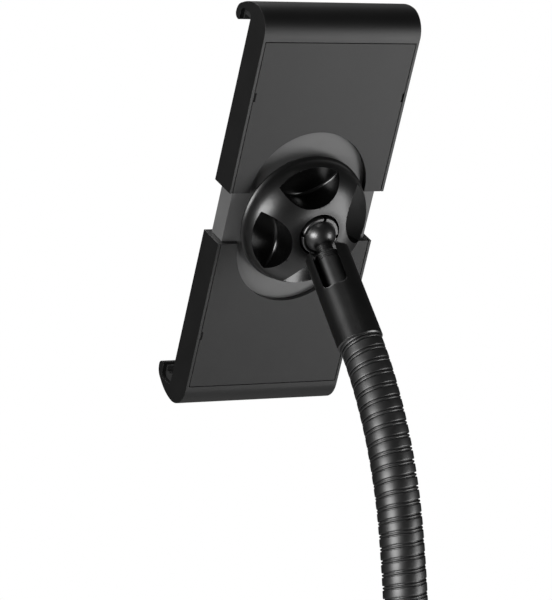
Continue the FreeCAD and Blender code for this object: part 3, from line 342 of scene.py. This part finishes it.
def rounded(name, width):
    """A copy of a CAD piece whose sharp edges are rounded, shown in its place."""
    source = frame["nodes"][name]
    mesh = source.data.copy()
    piece = show(name + "_moulded", mesh)
    form = bmesh.new()
    form.from_mesh(mesh)
    bmesh.ops.remove_doubles(form, verts=form.verts, dist=WELD)
    bmesh.ops.dissolve_limit(form, angle_limit=FLAT_ANGLE, verts=form.verts, edges=form.edges)
    edges = [edge for edge in form.edges if edge.is_manifold and edge.calc_face_angle() > EDGE_ANGLE]
    bmesh.ops.bevel(form, geom=edges, offset=width * MM, segments=EDGE_STEPS, profile=0.5, affect="EDGES",
                    clamp_overlap=True)
    form.to_mesh(mesh)
    form.free()
    mesh.shade_smooth()
    mesh.set_sharp_from_angle(angle=CREASE_ANGLE)
    weigh = piece.modifiers.new("normals", "WEIGHTED_NORMAL")
    weigh.keep_sharp = True
    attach(piece, source["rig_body"])
    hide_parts(name)
    return piece


# Clamp knob's scoops, in millimetres in the knob's frame: across, down the holder, and along its axis from
# the grip plane. A wall that is part of a leaning cylinder meets a floor that is part of a ball.

SCOOP_TURNS = [15.5, 105.5, 195.5, 285.5]
SCOOP_WALL_RADIUS = 16
SCOOP_WALL_FOOT = Vector((30.8, 0, 20.9))
SCOOP_WALL_TILT = math.radians(5.7)
SCOOP_FLOOR_RADIUS = 40
SCOOP_FLOOR_CENTRE = Vector((12.5, 0, 60.9))
SCOOP_INNER_END = 10
SCOOP_NEARNESS = 0.12
COVE_RADIUS = 1.5
COVE_THINNEST = 0.05
COVE_REACH = math.radians(65)
COVE_ROWS = 48
COVE_STEPS = 8

WALL_WAY = Vector((-math.sin(SCOOP_WALL_TILT), 0, math.cos(SCOOP_WALL_TILT)))
WALL_OUT = Vector((math.cos(SCOOP_WALL_TILT), 0, math.sin(SCOOP_WALL_TILT)))


def scoop_frame(turn):
    """From a scoop's own millimetres to the row frame."""
    knob = Matrix.Translation(GRIP_CENTRE) @ Matrix((ACROSS, -UP, NORMAL)).transposed().to_4x4()
    return knob @ Matrix.Rotation(math.radians(turn), 4, "Z") @ Matrix.Scale(MM, 4)


def cove_row(angle, radius):
    """Points across the rounded inner corner, from the scoop's wall to its floor."""
    to_wall = WALL_OUT * math.cos(angle) + Vector((0, 1, 0)) * math.sin(angle)
    foot = SCOOP_WALL_FOOT + to_wall * (SCOOP_WALL_RADIUS - radius) - SCOOP_FLOOR_CENTRE
    along = foot.dot(WALL_WAY)
    rise = -along - math.sqrt(along**2 - foot.length_squared + (SCOOP_FLOOR_RADIUS - radius)**2)
    to_floor = (foot + WALL_WAY * rise).normalized()
    centre = SCOOP_FLOOR_CENTRE + foot + WALL_WAY * rise
    return [centre + to_wall.slerp(to_floor, k / COVE_STEPS) * radius for k in range(COVE_STEPS + 1)]


def add_coves(form):
    """Rounds the inner corner of every scoop with a narrow strip that thins out at both ends."""
    for turn in SCOOP_TURNS:
        place = scoop_frame(turn)
        rows = []
        for i in range(COVE_ROWS + 1):
            share = 2 * i / COVE_ROWS - 1
            radius = COVE_RADIUS * max(1 - share**6, COVE_THINNEST)
            angle = math.pi + COVE_REACH * share
            rows.append([form.verts.new(place @ point) for point in cove_row(angle, radius)])
        for a, b in zip(rows, rows[1:]):
            for k in range(COVE_STEPS):
                form.faces.new((a[k], a[k + 1], b[k + 1], b[k]))


def in_scoop(point):
    """Whether a point of the knob lies on the wall or the floor of a scoop."""
    for turn in SCOOP_TURNS:
        local = scoop_frame(turn).inverted() @ point
        floor = (local - SCOOP_FLOOR_CENTRE).length - SCOOP_FLOOR_RADIUS
        spoke = local - SCOOP_WALL_FOOT
        wall = (spoke - WALL_WAY * spoke.dot(WALL_WAY)).length - SCOOP_WALL_RADIUS
        if local.x > SCOOP_INNER_END and abs(max(floor, wall)) < SCOOP_NEARNESS:
            return True
    return False


def finish_knob(knob, gloss):
    """Coves the scoops of the moulded knob and gives them their gloss."""
    form = bmesh.new()
    form.from_mesh(knob.data)
    scooped = [face for face in form.faces if in_scoop(face.calc_center_median())]
    for face in scooped:
        face.material_index = 1
    before = len(form.faces)
    add_coves(form)
    form.faces.ensure_lookup_table()
    for face in form.faces[before:]:
        face.material_index = 1
        face.smooth = True
    form.to_mesh(knob.data)
    form.free()
    knob.data.materials.append(gloss)


# Flexible neck: a strip wound in a right-handed helix, with a narrow bead between its turns. The centre line
# curves softly through each hinge point, over a length on both sides.

NECK_JOINTS = [joint for joint in frame["joints"] if joint["name"].startswith("neck_")]
NECK_PITCH = 5.65 * MM
NECK_SIDES = 56
NECK_TOP_REACH = 1.6 * MM
NECK_CREASE_ANGLE = math.radians(35)
# One turn of the strip, as distance along the neck and radius in millimetres.
BAND = [(0, 8.95), (0.2, 8.95), (0.3, 9.6), (0.5, 9.77), (0.8, 9.8), (3.5, 9.8), (3.75, 9.77), (3.92, 9.6)]
GROOVE = [(4, 9.1), (4.25, 9.1)]
BEAD = [(4.38, 9.45), (4.62, 9.64), (4.95, 9.7), (5.2, 9.62), (5.38, 9.4), (5.45, 8.95)]
STRIP_PROFILE = BAND + GROOVE + BEAD


def neck_points():
    """The hinge points from the neck's foot to the upper ferrule, and the direction of the neck at each."""
    foot = Vector((0, 0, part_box("neck_section_01")[0].z))
    points = [foot] + [Vector(joint["pos_m"]) for joint in NECK_JOINTS]
    runs = [(b - a).normalized() for a, b in zip(points, points[1:])]
    ways = [Vector((0, 0, 1))]
    ways += [(a + b).normalized() for a, b in zip(runs, runs[1:])]
    ways.append((BALL - points[-1]).normalized())
    return points, ways


NECK_POINTS, NECK_WAYS = neck_points()
NECK_STEP = (NECK_POINTS[1] - NECK_POINTS[0]).length


def neck_place(s):
    """The neck's centre line and its direction at a distance from the foot."""
    last = len(NECK_POINTS) - 1
    i = min(max(int(s / NECK_STEP), 0), last - 1)
    t = s / NECK_STEP - i
    if t > 1:
        return NECK_POINTS[last] + NECK_WAYS[last] * (t - 1) * NECK_STEP, NECK_WAYS[last]
    a, b = NECK_POINTS[i], NECK_POINTS[i + 1]
    va, vb = NECK_WAYS[i] * NECK_STEP, NECK_WAYS[i + 1] * NECK_STEP
    point = (a * (2 * t**3 - 3 * t**2 + 1) + va * (t**3 - 2 * t**2 + t)
             + b * (3 * t**2 - 2 * t**3) + vb * (t**3 - t**2))
    way = (a * (6 * t**2 - 6 * t) + va * (3 * t**2 - 4 * t + 1)
           + b * (6 * t - 6 * t**2) + vb * (3 * t**2 - 2 * t))
    return point, way.normalized()


def neck_skin(name, start, end):
    """The wound strip between two distances from the foot. Neighbouring skins meet on the same points."""
    low = math.floor(start / NECK_PITCH) - 1
    high = math.ceil(end / NECK_PITCH) + 1
    top = (len(NECK_POINTS) - 1) * NECK_STEP + NECK_TOP_REACH
    side = joint_axis("neck_lower_bend_1")
    form = bmesh.new()
    rows = []
    for turn in range(low, high):
        for along, radius in STRIP_PROFILE:
            row = []
            for k in range(NECK_SIDES + 1):
                angle = 2 * math.pi * k / NECK_SIDES
                s = turn * NECK_PITCH + along * MM + NECK_PITCH * k / NECK_SIDES
                inside = start <= s <= end
                s = min(max(s, 0), top)
                centre, way = neck_place(s)
                out = side * math.cos(angle) + way.cross(side) * math.sin(angle)
                row.append((centre + out * radius * MM, inside))
            rows.append(row)
    made = {}

    def corner(i, k):
        # The last column of a row is the first of the row one turn further on.
        if k == NECK_SIDES and i + len(STRIP_PROFILE) < len(rows):
            i, k = i + len(STRIP_PROFILE), 0
        if (i, k) not in made:
            made[i, k] = form.verts.new(rows[i][k][0])
        return made[i, k]

    for i in range(len(rows) - 1):
        for k in range(NECK_SIDES):
            if rows[i][k][1]:
                form.faces.new((corner(i, k), corner(i, k + 1), corner(i + 1, k + 1), corner(i + 1, k)))
    mesh = mesh_of(name, form)
    mesh.set_sharp_from_angle(angle=NECK_CREASE_ANGLE)
    return show(name, mesh)


def make_neck(materials):
    """One skin over each hinge, from the middle of one length to the middle of the next."""
    foot = neck_skin("neck_skin_00", 0, NECK_STEP / 2)
    foot.data.materials.append(materials["neck_metal"])
    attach(foot, "upper_pole")
    for number, joint in enumerate(NECK_JOINTS, start=1):
        middle = number * NECK_STEP
        last = number == len(NECK_JOINTS)
        reach = NECK_TOP_REACH if last else NECK_STEP / 2
        skin = neck_skin(f"neck_skin_{number:02d}", middle - NECK_STEP / 2, middle + reach)
        skin.data.materials.append(materials["neck_metal"])
        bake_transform(skin)
        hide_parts(f"neck_section_{number:02d}")


def make_rounded(materials):
    """The rounded pieces in their slots' materials, and the finished knob."""
    slots = {entry["node"]: entry["material_slot"] for entry in frame["record"]["subparts"]}
    for name, width in ROUNDED.items():
        piece = rounded(name, width)
        piece.data.materials.clear()
        piece.data.materials.append(materials[slots[name]])
        if name == "clamp_knob":
            finish_knob(piece, materials["knob_gloss"])


# Jaw springs, in millimetres

SPRING_WIRE = 0.8
SPRING_TURNS = 12
SPRING_STEPS = 20
SPRING_SIDES = 8


def spread(points, way):
    """How far points reach along a direction."""
    reaches = [point.dot(way) for point in points]
    return min(reaches), max(reaches)


def spring_rise(turn, length):
    """Height of the wire's middle after so many turns. The first and last turn lie on their neighbours."""
    wire = SPRING_WIRE * MM
    if turn < 1:
        return wire * (0.5 + turn)
    if turn > SPRING_TURNS - 1:
        return length - wire * (0.5 + SPRING_TURNS - turn)
    return wire * 1.5 + (length - wire * 3) * (turn - 1) / (SPRING_TURNS - 2)


def coil_form(foot, along, deep, radius, length):
    """A coil of wire that rises from the middle of its foot. The radius is the outside one."""
    form = bmesh.new()
    rings = []
    for step in range(SPRING_TURNS * SPRING_STEPS + 1):
        angle = 2 * math.pi * step / SPRING_STEPS
        out = ACROSS * math.cos(angle) + deep * math.sin(angle)
        rise = spring_rise(step / SPRING_STEPS, length)
        centre = foot + out * (radius - SPRING_WIRE / 2 * MM) + along * rise
        ring = []
        for k in range(SPRING_SIDES):
            side = 2 * math.pi * k / SPRING_SIDES
            edge = out * math.cos(side) + along * math.sin(side)
            ring.append(form.verts.new(centre + edge * SPRING_WIRE / 2 * MM))
        rings.append(ring)
    for low, high in zip(rings, rings[1:]):
        for k in range(SPRING_SIDES):
            form.faces.new((low[k], low[k - 1], high[k - 1], high[k]))
    form.faces.new(rings[0])
    form.faces.new(rings[-1])
    bmesh.ops.recalc_face_normals(form, faces=form.faces)
    return form


def make_springs(materials):
    """Each jaw's spring as a coil of wire between the body and the jaw's rack."""
    for jaw in ("upper_jaw", "lower_jaw"):
        points = [vertex.co for vertex in frame["nodes"][jaw + "_spring"].data.vertices]
        along = joint_axis(jaw + "_slide")
        deep = along.cross(ACROSS)
        left, right = spread(points, ACROSS)
        near, far = spread(points, deep)
        foot, tip = spread(points, along)
        middle = ACROSS * (left + right) / 2 + deep * (near + far) / 2
        form = coil_form(middle + along * foot, along, deep, (right - left) / 2, tip - foot)
        coil = show(jaw + "_coil", mesh_of(jaw + "_coil", form))
        coil.data.materials.append(materials["spring_steel"])
        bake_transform(coil)
        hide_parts(jaw + "_spring")


def main():
    clear_start()
    materials = make_materials()
    make_camera()
    make_studio()
    dress_nodes(materials)
    make_neck(materials)
    make_rounded(materials)
    make_springs(materials)


main()
